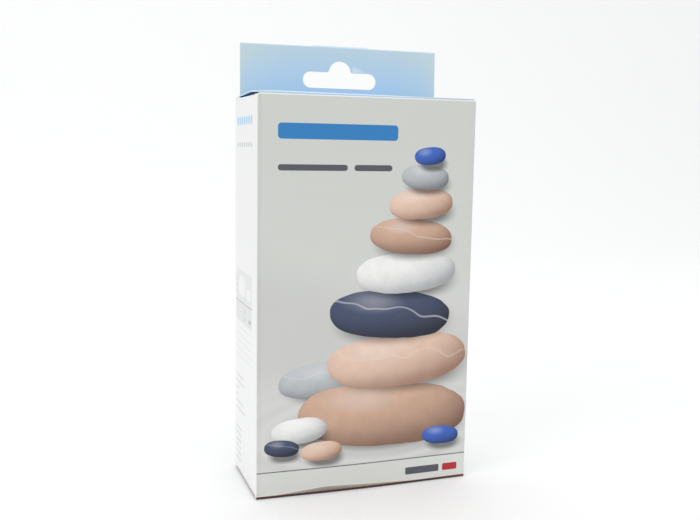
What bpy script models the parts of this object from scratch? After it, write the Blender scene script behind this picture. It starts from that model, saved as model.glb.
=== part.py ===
"""A hang-tab folding carton of printed board, with reverse tuck ends.

Metres, +Z up. The carton stands on the floor at z = 0, centred on the origin, with its
front to -Y. The hang tab rises from the back wall, and the lid is hinged at its foot.
The bottom end is the top end turned half a turn about X, so its panel is hinged at the
foot of the front wall. Every flap is drawn closed, with its origin on its crease.
"""
import math

import bmesh
import bpy
from mathutils import Matrix, Vector

# The carton outside, and the board that it is cut from
WIDTH = 0.102
DEPTH = 0.0455
HEIGHT = 0.1787
BOARD = 0.0005
CREASE_RADIUS = 0.0009
FOLD_GAP = 0.0003

# The flap that closes the sleeve, glued inside the right wall
GLUE_FLAP_WIDTH = 0.014
GLUE_FLAP_END_GAP = 0.004
GLUE_FLAP_TAPER = 0.004

# The hang tab, two layers of board folded over at the top
TAB_WIDTH = 0.0984
TAB_HEIGHT = 0.0245
TAB_OFF_CENTRE = 0.00025
TAB_CORNER_RADIUS = 0.0006
TAB_RISE = 0.0005
TAB_RISE_WIDTH = 0.0282

# The slot that a shop's hook goes through: a band with round ends and a round bump above
SLOT_WIDTH = 0.0370
SLOT_BAND = 0.0076
SLOT_HEIGHT = 0.0129
SLOT_BUMP_WIDTH = 0.0113
SLOT_FOOT = 0.00515
SLOT_FILLET = 0.0012
SLOT_OFF_CENTRE = -0.00015

# The lid and the bottom panel, with their tuck flaps
LID_SIDE_GAP = 0.0005
LID_CORNER_RADIUS = 0.001
TUCK_LENGTH = 0.015
TUCK_SHOULDER = 0.0005
TUCK_TAPER = 0.003
TUCK_CORNER_RADIUS = 0.008

# The dust flaps under the lid and over the bottom panel
DUST_LENGTH = 0.032
DUST_TAPER = 0.006
DUST_CORNER_RADIUS = 0.005
DUST_TUCK_GAP = 0.0035
DUST_HINGE_WALL_GAP = 0.0013

# How finely the round corners are drawn
CORNER_STEPS = 5
SLOT_STEPS = 12

# Where the walls' inner faces and the folded flaps lie
INNER_X = WIDTH / 2 - BOARD
INNER_Y = DEPTH / 2 - BOARD
LID_TOP = HEIGHT / 2
LID_UNDER = LID_TOP - BOARD
FLAP_TOP = LID_UNDER - FOLD_GAP
FLAP_UNDER = FLAP_TOP - BOARD
WALL_TOP = HEIGHT - BOARD - FOLD_GAP
TUCK_OUTER_Y = -INNER_Y + FOLD_GAP
TUCK_INNER_Y = TUCK_OUTER_Y + BOARD
LID_HINGE_Y = -TUCK_INNER_Y
CUT_MARGIN = 0.01

# Each end's crease as (y, z) in the frame of its end, and where its panel starts behind it.
# The lid folds on its printed face, against the tab; the bottom panel folds on its inner
# face, round the foot of the front wall.
LID_CREASE = (LID_HINGE_Y, LID_TOP)
LID_BACK_EDGE = INNER_Y - FOLD_GAP
BOTTOM_CREASE = (INNER_Y, LID_UNDER)
BOTTOM_BACK_EDGE = INNER_Y

PAINTS = {
    "printed_grey": (0.62, 0.63, 0.61, 1.0),
    "printed_blue": (0.42, 0.60, 0.78, 1.0),
    "printed_red": (0.23, 0.03, 0.04, 1.0),
}
PRINT_ROUGHNESS = 0.38


def clear_scene():
    """Removes what the file holds, so that the model starts from nothing."""
    for old in list(bpy.data.objects):
        bpy.data.objects.remove(old, do_unlink=True)


def collection(name):
    """Makes a collection in the scene."""
    group = bpy.data.collections.new(name)
    bpy.context.scene.collection.children.link(group)
    return group


def paint(part_name, colour_name):
    """Makes the material of one sub-part."""
    finish = bpy.data.materials.new(part_name + "_board")
    finish.use_nodes = True
    shader = finish.node_tree.nodes["Principled BSDF"]
    shader.inputs["Base Color"].default_value = PAINTS[colour_name]
    shader.inputs["Roughness"].default_value = PRINT_ROUGHNESS
    shader.inputs["Metallic"].default_value = 0.0
    return finish


def arc(centre, radius, start, end, steps):
    """Points along an arc, with its angles in degrees."""
    points = []
    for step in range(steps + 1):
        angle = math.radians(start + (end - start) * step / steps)
        x = centre[0] + radius * math.cos(angle)
        y = centre[1] + radius * math.sin(angle)
        points.append((x, y))
    return points


def rounded(corners):
    """Rounds an outline's corners, each given as (x, y, radius)."""
    points = []
    for index, (x, y, radius) in enumerate(corners):
        here = Vector((x, y))
        if radius <= 0:
            points.append((x, y))
            continue
        back = Vector(corners[index - 1][:2]) - here
        ahead = Vector(corners[(index + 1) % len(corners)][:2]) - here
        back.normalize()
        ahead.normalize()
        half = back.angle(ahead) / 2
        centre = here + (back + ahead).normalized() * (radius / math.sin(half))
        first = here + back * (radius / math.tan(half)) - centre
        turn = math.pi - 2 * half
        if back.cross(ahead) > 0:
            turn = -turn
        start = math.degrees(math.atan2(first.y, first.x))
        points += arc(centre, radius, start, start + math.degrees(turn), CORNER_STEPS)
    return points


def box_outline(half_x, half_y, radius):
    """The outline of a rectangle about the origin, with round corners."""
    return rounded([
        (-half_x, -half_y, radius),
        (half_x, -half_y, radius),
        (half_x, half_y, radius),
        (-half_x, half_y, radius),
    ])


def sheet(name, outlines, thickness, group):
    """Cuts a flat sheet: the first outline is its edge, and the others are holes."""
    curve = bpy.data.curves.new(name, "CURVE")
    curve.dimensions = "2D"
    curve.fill_mode = "BOTH"
    curve.extrude = thickness / 2
    for outline in outlines:
        spline = curve.splines.new("POLY")
        spline.points.add(len(outline) - 1)
        for point, (x, y) in zip(spline.points, outline):
            point.co = (x, y, 0.0, 1.0)
        spline.use_cyclic_u = True
    drawn = bpy.data.objects.new(name, curve)
    group.objects.link(drawn)
    return drawn


def as_mesh(drawn, group):
    """Turns a cut sheet into one welded mesh object."""
    bpy.context.view_layer.update()
    evaluated = drawn.evaluated_get(bpy.context.evaluated_depsgraph_get())
    mesh = bpy.data.meshes.new_from_object(evaluated)
    work = bmesh.new()
    work.from_mesh(mesh)
    bmesh.ops.remove_doubles(work, verts=work.verts, dist=1e-6)
    work.to_mesh(mesh)
    work.free()
    name = drawn.name
    place = drawn.matrix_world.copy()
    bpy.data.objects.remove(drawn, do_unlink=True)
    solid = bpy.data.objects.new(name, mesh)
    solid.matrix_world = place
    group.objects.link(solid)
    return solid


def as_cutter(shape):
    """Keeps a helping shape out of the render."""
    shape.hide_render = True
    shape.display_type = "WIRE"
    return shape


def box_cutter(name, low, high, group):
    """A box between two corners, to cut with."""
    mesh = bpy.data.meshes.new(name)
    work = bmesh.new()
    bmesh.ops.create_cube(work, size=1.0)
    middle = (Vector(low) + Vector(high)) / 2
    size = Vector(high) - Vector(low)
    place = Matrix.Translation(middle) @ Matrix.Diagonal(size.to_4d())
    bmesh.ops.transform(work, matrix=place, verts=work.verts)
    work.to_mesh(mesh)
    work.free()
    shape = bpy.data.objects.new(name, mesh)
    group.objects.link(shape)
    return as_cutter(shape)


def boolean(target, name, operation, shape):
    """Cuts a shape away from a piece, or joins it on."""
    change = target.modifiers.new(name, "BOOLEAN")
    change.operation = operation
    change.solver = "EXACT"
    change.object = shape


def empty(name, location, rotation, group):
    """A frame that other pieces are placed in."""
    frame = bpy.data.objects.new(name, None)
    frame.empty_display_size = BOARD * CORNER_STEPS
    frame.location = location
    frame.rotation_euler = rotation
    group.objects.link(frame)
    return frame


def finish(piece, colour_name):
    """Gives a piece the material of its own sub-part."""
    piece.data.materials.clear()
    piece.data.materials.append(paint(piece.name, colour_name))
    return piece


def glue_flap(cutters):
    """The flap inside the right wall, folded forward from the back wall."""
    end = HEIGHT / 2 - GLUE_FLAP_END_GAP
    free_end = end - GLUE_FLAP_TAPER
    fold = INNER_Y + BOARD / 2
    edge = INNER_Y - GLUE_FLAP_WIDTH
    outline = [(edge, -free_end), (fold, -end), (fold, end), (edge, free_end)]
    lap = BOARD / 2
    flap = sheet("glue_flap", [outline], BOARD + lap, cutters)
    middle_x = INNER_X - BOARD + (BOARD + lap) / 2
    flap.rotation_euler = (math.radians(90), 0, math.radians(90))
    flap.location = (middle_x, 0, HEIGHT / 2)
    return as_cutter(as_mesh(flap, cutters))


def sleeve(parts, cutters):
    """The four walls, with rounded upright creases and the glued flap inside."""
    outer = box_outline(WIDTH / 2, DEPTH / 2, CREASE_RADIUS)
    inner = box_outline(INNER_X, INNER_Y, CREASE_RADIUS - BOARD)
    walls = sheet("sleeve", [outer, inner], HEIGHT, parts)
    walls.location.z = HEIGHT / 2
    walls = as_mesh(walls, parts)
    top_low = (-WIDTH, -DEPTH, WALL_TOP)
    top_high = (WIDTH, INNER_Y, HEIGHT + CUT_MARGIN)
    top_trim = box_cutter("wall_top_trim", top_low, top_high, cutters)
    boolean(walls, "front_and_side_tops", "DIFFERENCE", top_trim)
    foot_low = (-WIDTH, -DEPTH, -CUT_MARGIN)
    foot_high = (WIDTH, INNER_Y, HEIGHT - WALL_TOP)
    foot_trim = box_cutter("wall_foot_trim", foot_low, foot_high, cutters)
    boolean(walls, "front_and_side_feet", "DIFFERENCE", foot_trim)
    boolean(walls, "glued_seam", "UNION", glue_flap(cutters))
    return finish(walls, "printed_grey")


def slot_outline():
    """The hook slot, counterclockwise from the foot of its right end, about its own centre."""
    end_radius = SLOT_BAND / 2
    end_x = SLOT_WIDTH / 2 - end_radius
    shoulder = SLOT_FOOT + SLOT_BAND
    bump_radius = SLOT_BUMP_WIDTH / 2
    bump_y = SLOT_FOOT + SLOT_HEIGHT - bump_radius
    fillet_y = shoulder + SLOT_FILLET
    rise = fillet_y - bump_y
    fillet_x = math.sqrt((bump_radius + SLOT_FILLET) ** 2 - rise ** 2)
    lean = math.degrees(math.atan2(rise, fillet_x))
    band_y = SLOT_FOOT + end_radius
    points = arc((end_x, band_y), end_radius, -90, 90, SLOT_STEPS)
    points += arc((fillet_x, fillet_y), SLOT_FILLET, -90, lean - 180, CORNER_STEPS)
    points += arc((0.0, bump_y), bump_radius, lean, 180 - lean, SLOT_STEPS)[1:-1]
    points += arc((-fillet_x, fillet_y), SLOT_FILLET, -lean, -90, CORNER_STEPS)
    points += arc((-end_x, band_y), end_radius, 90, 270, SLOT_STEPS)
    return [(x + SLOT_OFF_CENTRE, y) for x, y in points]


def hang_tab(parts):
    """The double tab over the back wall, whose fold stands a little prouder in the middle."""
    left = TAB_OFF_CENTRE - TAB_WIDTH / 2
    right = TAB_OFF_CENTRE + TAB_WIDTH / 2
    rise_left = SLOT_OFF_CENTRE - TAB_RISE_WIDTH / 2
    rise_right = SLOT_OFF_CENTRE + TAB_RISE_WIDTH / 2
    top = TAB_HEIGHT
    outline = rounded([
        (left, FOLD_GAP, 0.0),
        (right, FOLD_GAP, 0.0),
        (right, top, TAB_CORNER_RADIUS),
        (rise_right + TAB_RISE, top, 0.0),
        (rise_right, top + TAB_RISE, 0.0),
        (rise_left, top + TAB_RISE, 0.0),
        (rise_left - TAB_RISE, top, 0.0),
        (left, top, TAB_CORNER_RADIUS),
    ])
    tab = sheet("hang_tab", [outline, slot_outline()], 2 * BOARD, parts)
    tab.rotation_euler.x = math.radians(90)
    tab.location = (0, DEPTH / 2 - BOARD, HEIGHT)
    return finish(as_mesh(tab, parts), "printed_blue")


def closing_panel(name, end, crease, back_edge, colour_name, parts):
    """The panel over one end, with its origin on the crease along the hinge wall."""
    half_x = INNER_X - LID_SIDE_GAP
    front = TUCK_OUTER_Y - crease[0]
    back = back_edge - crease[0]
    outline = rounded([
        (-half_x, front, LID_CORNER_RADIUS),
        (half_x, front, LID_CORNER_RADIUS),
        (half_x, back, 0.0),
        (-half_x, back, 0.0),
    ])
    panel = sheet(name, [outline], BOARD, parts)
    panel.data.transform(Matrix.Translation((0, 0, LID_TOP - BOARD / 2 - crease[1])))
    panel.parent = end
    panel.location = (0, *crease)
    return finish(panel, colour_name)


def tuck_flap(name, panel, crease, colour_name, parts):
    """The flap that goes down inside the wall, with its origin on the panel's far crease."""
    half_x = INNER_X - LID_SIDE_GAP - TUCK_SHOULDER
    free_x = half_x - TUCK_TAPER
    outline = rounded([
        (-free_x, -TUCK_LENGTH, TUCK_CORNER_RADIUS),
        (free_x, -TUCK_LENGTH, TUCK_CORNER_RADIUS),
        (half_x, 0.0, 0.0),
        (-half_x, 0.0, 0.0),
    ])
    flap = sheet(name, [outline], BOARD, parts)
    flap.data.transform(Matrix.Translation((0, 0, BOARD / 2)))
    flap.parent = panel
    flap.rotation_euler.x = math.radians(90)
    flap.location = (0, TUCK_INNER_Y - crease[0], FLAP_TOP - crease[1])
    return finish(flap, colour_name)


def dust_flap(name, end, side, colour_name, parts):
    """One side's flap under the panel, with its origin on the crease; side is -1 or 1."""
    tuck_edge = TUCK_INNER_Y + DUST_TUCK_GAP
    hinge_edge = INNER_Y - DUST_HINGE_WALL_GAP
    outline = rounded([
        (0.0, tuck_edge, 0.0),
        (DUST_LENGTH, tuck_edge + DUST_TAPER, DUST_CORNER_RADIUS),
        (DUST_LENGTH, hinge_edge, DUST_CORNER_RADIUS),
        (0.0, hinge_edge, 0.0),
    ])
    if side > 0:
        outline = [(-x, y) for x, y in reversed(outline)]
    flap = sheet(name, [outline], BOARD, parts)
    flap.data.transform(Matrix.Translation((0, 0, BOARD / 2)))
    flap.parent = end
    flap.location = (side * (INNER_X - FOLD_GAP), 0, FLAP_UNDER)
    return finish(flap, colour_name)


def closure(end_name, turn, panel_name, crease, back_edge, colour_name, parts):
    """One end of the carton: a hinged panel, its tuck flap and two dust flaps."""
    end = empty(end_name + "_end", (0, 0, HEIGHT / 2), (turn, 0, 0), parts)
    panel = closing_panel(panel_name, end, crease, back_edge, colour_name, parts)
    tuck_flap(end_name + "_tuck_flap", panel, crease, colour_name, parts)
    dust_flap(end_name + "_dust_flap_left", end, -1, colour_name, parts)
    dust_flap(end_name + "_dust_flap_right", end, 1, colour_name, parts)


def main():
    """Builds the carton."""
    clear_scene()
    parts = collection("hang_tab_carton")
    cutters = collection("cutters")
    sleeve(parts, cutters)
    hang_tab(parts)
    closure("top", 0.0, "lid", LID_CREASE, LID_BACK_EDGE, "printed_blue", parts)
    closure("bottom", math.pi, "bottom_panel", BOTTOM_CREASE, BOTTOM_BACK_EDGE, "printed_red", parts)


main()
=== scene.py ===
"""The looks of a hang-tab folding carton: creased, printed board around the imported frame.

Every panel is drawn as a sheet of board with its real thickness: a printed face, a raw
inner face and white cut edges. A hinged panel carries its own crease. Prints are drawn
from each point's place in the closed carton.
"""
from __future__ import annotations

import logging
import math
from dataclasses import dataclass, field
from enum import Enum
from typing import Callable, Sequence

import bmesh
import bpy
import numpy as np
from mathutils import Matrix, Vector


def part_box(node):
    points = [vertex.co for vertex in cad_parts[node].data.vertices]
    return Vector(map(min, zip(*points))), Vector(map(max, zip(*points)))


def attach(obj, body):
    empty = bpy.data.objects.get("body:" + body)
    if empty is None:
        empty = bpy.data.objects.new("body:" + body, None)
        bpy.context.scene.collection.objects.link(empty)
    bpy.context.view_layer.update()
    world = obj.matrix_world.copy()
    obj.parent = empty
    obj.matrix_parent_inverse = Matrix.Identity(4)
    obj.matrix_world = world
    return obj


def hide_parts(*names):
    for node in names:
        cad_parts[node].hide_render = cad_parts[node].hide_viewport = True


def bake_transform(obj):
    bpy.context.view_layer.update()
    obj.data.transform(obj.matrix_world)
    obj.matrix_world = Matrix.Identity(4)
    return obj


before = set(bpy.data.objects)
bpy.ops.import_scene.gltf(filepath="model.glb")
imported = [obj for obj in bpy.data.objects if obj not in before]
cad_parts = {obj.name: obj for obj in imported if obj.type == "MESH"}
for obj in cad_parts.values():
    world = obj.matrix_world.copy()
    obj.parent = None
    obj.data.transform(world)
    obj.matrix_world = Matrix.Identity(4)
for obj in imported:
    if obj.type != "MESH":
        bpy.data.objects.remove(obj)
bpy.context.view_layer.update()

log = logging.getLogger("carton")

Colour = tuple[float, float, float]
Place = tuple[float, float, float]
Span = tuple[float, float]
Socket = bpy.types.NodeSocket

REST = "rest_place"
MM = 0.001
FLAT_SMOOTH = 42.0


class End(Enum):
    """The two ends of the carton; the bottom is the top turned over."""

    TOP = "top"
    BOTTOM = "bottom"


class Side(Enum):
    """A side of the carton, as the sign of its X."""

    LEFT = -1
    RIGHT = 1


class Wall(Enum):
    """The stretches of the sheet that wraps round the carton."""

    RIGHT = "right"
    FRONT = "front"
    LEFT = "left"
    BACK = "back"
    GLUE = "glue"
    CORNER = "corner"


def clamped(value: float) -> float:
    """A number held between 0 and 1."""
    return min(max(value, 0.0), 1.0)


def arch(share: float) -> float:
    """A rise from 0 to 1 and back, as a share runs from 0 to 1."""
    return max(0.0, 1.0 - (2.0 * share - 1.0) ** 2)


def polar(centre: Span, radius: float, angle: float) -> Span:
    """The point of a circle at an angle in degrees."""
    turn = math.radians(angle)
    return centre[0] + radius * math.cos(turn), centre[1] + radius * math.sin(turn)


def spread(low: float, high: float, steps: int) -> list[float]:
    """Even values from low to high, both included."""
    return [low + (high - low) * number / steps for number in range(steps + 1)]


def corner_inset(distance: float, radius: float) -> float:
    """How far a round corner pulls an edge in, at a distance before the panel's end."""
    if distance >= radius:
        return 0.0
    inset = radius - math.sqrt(max(radius ** 2 - (radius - distance) ** 2, 0.0))
    return min(inset, radius * 0.98)


@dataclass(frozen=True)
class Measures:
    """The carton's sizes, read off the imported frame, and its creases' own."""

    left: float
    right: float
    front: float
    back: float
    top: float
    board: float
    wall_top: float
    wall_foot: float
    dust_front: float
    dust_back: float
    tab_left: float
    tab_right: float
    tab_foot: float
    tab_top: float
    crease: float = 0.75 * MM
    corner: float = 0.9 * MM
    stub: float = 1.7 * MM

    @classmethod
    def read(cls) -> "Measures":
        """Reads the sizes off the frame's nodes.

        Returns:
            The carton's measures in metres.
        """
        sleeve_low, sleeve_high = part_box("sleeve")
        lid_low, lid_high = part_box("lid")
        dust_low, dust_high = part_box("top_dust_flap_left")
        tab_low, tab_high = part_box("hang_tab")
        return cls(
            left=sleeve_low.x, right=sleeve_high.x, front=sleeve_low.y, back=sleeve_high.y,
            top=lid_high.z, board=lid_high.z - lid_low.z,
            wall_top=dust_high.z, wall_foot=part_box("bottom_dust_flap_left")[0].z,
            dust_front=dust_low.y, dust_back=dust_high.y,
            tab_left=tab_low.x, tab_right=tab_high.x, tab_foot=tab_low.z, tab_top=tab_high.z,
        )

    def across(self, x: float) -> float:
        """How far along the front a point is, from 0 at the left to 1 at the right."""
        return (x - self.left) / (self.right - self.left)

    def inward(self, y: float) -> float:
        """How deep a point is, from 0 at the front to 1 at the back."""
        return (y - self.front) / (self.back - self.front)


@dataclass(frozen=True)
class Spring:
    """How the creased board springs out of its flat, square shape."""

    sizes: Measures
    front_bow: float = 0.45 * MM
    side_bow: float = 0.25 * MM
    foot_bow: float = 1.1 * MM
    foot_fullness: float = 1.2
    foot_reach: float = 18.0 * MM
    lip: float = 0.35 * MM
    lip_height: float = 3.0 * MM
    lip_middle: float = -10.0 * MM
    lip_reach: float = 20.0 * MM
    crease_left: float = 0.40 * MM
    crease_right: float = -0.20 * MM
    crease_start: float = 4.0 * MM
    lid_lift: float = 0.76 * MM
    lift_lean: float = 1.35
    lift_reach: float = 15.0 * MM
    right_share: float = 0.4
    side_drop: float = 0.45 * MM
    drop_end: float = 18.0 * MM
    drop_fade: float = 4.0 * MM

    def drop(self, y: float) -> float:
        """How far the side walls' upper creases have sunk, which ends before the back."""
        return self.side_drop * clamped((self.drop_end - y) / self.drop_fade)

    def wall(self, x: float, y: float, z: float, wall: Wall) -> Vector:
        """How far a wall bows out at a point."""
        s = self.sizes
        if wall in (Wall.FRONT, Wall.BACK):
            bow = self.front_bow * arch(z / s.top) * arch(s.across(x))
            return Vector((0.0, bow if wall is Wall.BACK else -bow - self.foot(x, z), 0.0))
        if wall in (Wall.LEFT, Wall.RIGHT):
            bow = self.side_bow * arch(z / s.top) * arch(s.inward(y))
            return Vector((bow if wall is Wall.RIGHT else -bow, 0.0, 0.0))
        return Vector((0.0, 0.0, 0.0))

    def foot(self, x: float, z: float) -> float:
        """How far the front wall's foot is pushed forward, with a lip over its crease."""
        hump = math.sin(math.pi * clamped(self.sizes.across(x))) ** self.foot_fullness
        near = math.exp(-((x - self.lip_middle) / self.lip_reach) ** 4)
        over = z - self.lip_height
        lip = clamped(z / self.lip_height) if over < 0.0 else math.exp(-over / self.foot_reach)
        return self.foot_bow * hump * math.exp(-z / self.foot_reach) + self.lip * near * lip

    def crease(self, x: float) -> float:
        """How far the lid's front crease stands above its flat place."""
        rise = self.crease_left + (self.crease_right - self.crease_left) * clamped(self.sizes.across(x))
        return rise * (1.0 - math.exp(-max(x - self.sizes.left, 0.0) / self.crease_start))

    def lid(self, x: float, inward: float) -> float:
        """How far the lid stands above its flat place, at a distance from its hinge."""
        s = self.sizes
        share = clamped(inward / (s.back - s.front - 2 * s.board))
        wave = self.lid_lift * math.sin(math.pi * share ** self.lift_lean) ** 2
        left = math.exp(-((x - s.left) / self.lift_reach) ** 2)
        right = self.right_share * math.exp(-((s.right - x) / self.lift_reach) ** 2)
        return self.crease(x) * share ** 2 + wave * (left + right)


class Graph:
    """A node graph, with one method for each kind of step in it."""

    def __init__(self, tree: bpy.types.NodeTree) -> None:
        """Starts a graph in a node tree."""
        self.tree = tree

    def node(self, kind: str, *values: object, **settings: object) -> bpy.types.Node:
        """Adds a node.

        Args:
            kind: the node's Blender type.
            values: what its first sockets are fed with.
            settings: properties to set on it.

        Returns:
            The node.
        """
        made = self.tree.nodes.new(kind)
        for key, value in settings.items():
            setattr(made, key, value)
        for socket, value in zip(made.inputs, values):
            self.feed(socket, value)
        return made

    def feed(self, socket: Socket, value: object) -> None:
        """Links a socket to another, or sets its value."""
        if isinstance(value, bpy.types.NodeSocket):
            self.tree.links.new(value, socket)
        elif isinstance(value, (tuple, list)) and len(value) == 3 and socket.type == "RGBA":
            socket.default_value = (*value, 1.0)
        else:
            socket.default_value = value

    def math(self, operation: str, *values: object, clamp: bool = False) -> Socket:
        """A step of arithmetic on numbers."""
        return self.node("ShaderNodeMath", *values, operation=operation, use_clamp=clamp).outputs[0]

    def times(self, *values: object) -> Socket:
        """The product of two numbers or more."""
        total = values[0]
        for value in values[1:]:
            total = self.math("MULTIPLY", total, value)
        return total

    def vector(self, operation: str, *values: object) -> Socket:
        """A step of vector arithmetic."""
        return self.node("ShaderNodeVectorMath", *values, operation=operation).outputs["Vector"]

    def length(self, vector: object) -> Socket:
        """A vector's length."""
        return self.node("ShaderNodeVectorMath", vector, operation="LENGTH").outputs["Value"]

    def split(self, vector: object) -> Sequence[Socket]:
        """A vector's three parts."""
        return list(self.node("ShaderNodeSeparateXYZ", vector).outputs)

    def join(self, x: object, y: object, z: object = 0.0) -> Socket:
        """A vector from three numbers."""
        return self.node("ShaderNodeCombineXYZ", x, y, z).outputs[0]

    def step(self, value: object, low: float, high: float) -> Socket:
        """Rises smoothly from 0 at low to 1 at high, which may be the lesser of the two."""
        ends = (min(low, high), max(low, high), float(low >= high), float(low < high))
        made = self.node("ShaderNodeMapRange", value, *ends, interpolation_type="SMOOTHSTEP")
        return made.outputs["Result"]

    def between(self, value: object, low: float, high: float, soft: float) -> Socket:
        """1 between two values and 0 outside them, with soft edges."""
        rise = self.step(value, low - soft, low + soft)
        return self.times(rise, self.step(value, high + soft, high - soft))

    def mix(self, factor: object, first: object, second: object, blend: str = "MIX") -> Socket:
        """Blends two colours."""
        made = self.node("ShaderNodeMix", factor, data_type="RGBA", blend_type=blend)
        for number, value in ((6, first), (7, second)):
            self.feed(made.inputs[number], value)
        return made.outputs[2]

    def shade(self, colour: object, factor: object) -> Socket:
        """A colour times a number."""
        return self.mix(1.0, colour, self.join(factor, factor, factor), "MULTIPLY")

    def darken(self, colour: object, where: Socket, amount: float) -> Socket:
        """A colour made darker by an amount in one place."""
        return self.shade(colour, self.math("MULTIPLY_ADD", where, -amount, 1.0))

    def noise(self, place: object, scale: float, detail: float = 3.0, rough: float = 0.55) -> Socket:
        """Soft noise from 0 to 1; scale is in grains for each unit of the place."""
        return self.node("ShaderNodeTexNoise", place, 0.0, scale, detail, rough).outputs[0]

    def swing(self, value: Socket, amount: float, middle: float) -> Socket:
        """Noise from 0 to 1 turned into a middle value, give or take half an amount."""
        return self.math("MULTIPLY_ADD", value, amount, middle - amount / 2)

    def rest(self) -> Socket:
        """The point's place in the closed carton, in metres."""
        return self.node("ShaderNodeAttribute", attribute_name=REST).outputs["Vector"]

    def in_mm(self, place: Socket) -> Sequence[Socket]:
        """The three parts of a place, in millimetres."""
        return self.split(self.vector("MULTIPLY", place, (1.0 / MM,) * 3))


Paint = Callable[[Graph, Socket], object]


def blank(name: str) -> tuple[bpy.types.Material, Graph, bpy.types.Node]:
    """A new material, its graph and its shader."""
    material = bpy.data.materials.new(name)
    material.use_nodes = True
    return material, Graph(material.node_tree), material.node_tree.nodes["Principled BSDF"]


@dataclass(frozen=True)
class Coat:
    """How a face of board shines, and the fine texture of its surface."""

    roughness: float = 0.36
    specular: float = 0.42
    fibre_spread: float = 0.05
    fibre_scale: float = 5200.0
    fibre_depth: float = 0.012 * MM
    rub_spread: float = 0.14
    rub_scale: float = 160.0
    wave_scale: float = 55.0
    wave_depth: float = 0.06 * MM
    bump: float = 0.8
    cloud_scale: float = 90.0

    def material(self, name: str, paint: Paint) -> bpy.types.Material:
        """Makes the material of one face of the board.

        Args:
            name: the material's name.
            paint: draws the colour from the graph and the point's place.

        Returns:
            The material.
        """
        material, graph, shader = blank(name)
        place = graph.rest()
        fibre = graph.noise(place, self.fibre_scale, 4.0, 0.6)
        rub = graph.swing(graph.noise(place, self.rub_scale, 5.0, 0.6), self.rub_spread, self.roughness)
        wave = graph.times(graph.noise(place, self.wave_scale, 1.0, 0.4), self.wave_depth)
        bump = graph.node("ShaderNodeBump")
        bump.inputs["Strength"].default_value = self.bump
        bump.inputs["Distance"].default_value = 1.0
        graph.feed(bump.inputs["Height"], graph.math("MULTIPLY_ADD", fibre, self.fibre_depth, wave))
        for label, value in (
            ("Base Color", paint(graph, place)),
            ("Roughness", graph.math("ADD", rub, graph.swing(fibre, self.fibre_spread, 0.0))),
            ("Specular IOR Level", self.specular), ("Normal", bump.outputs["Normal"]),
        ):
            graph.feed(shader.inputs[label], value)
        return material

    def tint(self, name: str, colour: Colour, amount: float = 0.02) -> bpy.types.Material:
        """Makes a face of one tint, with the slight unevenness of ink or fibre.

        Args:
            name: the material's name.
            colour: the tint.
            amount: how far it strays, as a share.

        Returns:
            The material.
        """
        def paint(graph: Graph, place: Socket) -> Socket:
            """The tint with soft clouds in it."""
            cloud = graph.noise(place, self.cloud_scale, 4.0)
            return graph.shade(colour, graph.swing(cloud, amount * 2, 1.0))

        return self.material(name, paint)


GLOSSY = Coat()
UNCOATED = Coat(
    roughness=0.82, specular=0.22, fibre_spread=0.12, fibre_scale=2600.0, fibre_depth=0.03 * MM,
)


@dataclass(frozen=True)
class Bar:
    """A printed bar with round corners: its middle, size and colour, in millimetres."""

    x: float
    z: float
    width: float
    height: float
    radius: float
    colour: Colour
    soft: float = 0.08

    def draw(self, graph: Graph, flat: Socket, below: object) -> Socket:
        """Draws the bar.

        Args:
            graph: the graph to draw in.
            flat: the point on the panel, in millimetres.
            below: the colour so far.

        Returns:
            The colour with the bar on it.
        """
        folded = graph.vector("ABSOLUTE", graph.vector("SUBTRACT", flat, (self.x, self.z, 0.0)))
        core = (self.width / 2 - self.radius, self.height / 2 - self.radius, 0.0)
        past = graph.vector("MAXIMUM", graph.vector("SUBTRACT", folded, core), (0.0, 0.0, 0.0))
        cover = graph.step(graph.length(past), self.radius + self.soft, self.radius - self.soft)
        return graph.mix(cover, below, self.colour)


@dataclass(frozen=True)
class Stone:
    """The two tones of a printed stone: in the light and in the shade."""

    light: Colour
    dark: Colour


TAN = Stone((0.62, 0.40, 0.29), (0.17, 0.085, 0.055))
PEACH = Stone((0.78, 0.56, 0.44), (0.30, 0.16, 0.11))
NAVY = Stone((0.055, 0.075, 0.15), (0.006, 0.008, 0.018))
ROYAL = Stone((0.04, 0.13, 0.52), (0.008, 0.025, 0.14))
WHITE = Stone((0.86, 0.86, 0.85), (0.34, 0.35, 0.36))
SILVER = Stone((0.52, 0.54, 0.56), (0.15, 0.16, 0.18))


@dataclass(frozen=True)
class Pebble:
    """A printed pebble: its middle, half sizes and turn, in millimetres and degrees."""

    x: float
    z: float
    half_width: float
    half_height: float
    turn: float
    stone: Stone
    vein: float = 0.0


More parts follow.
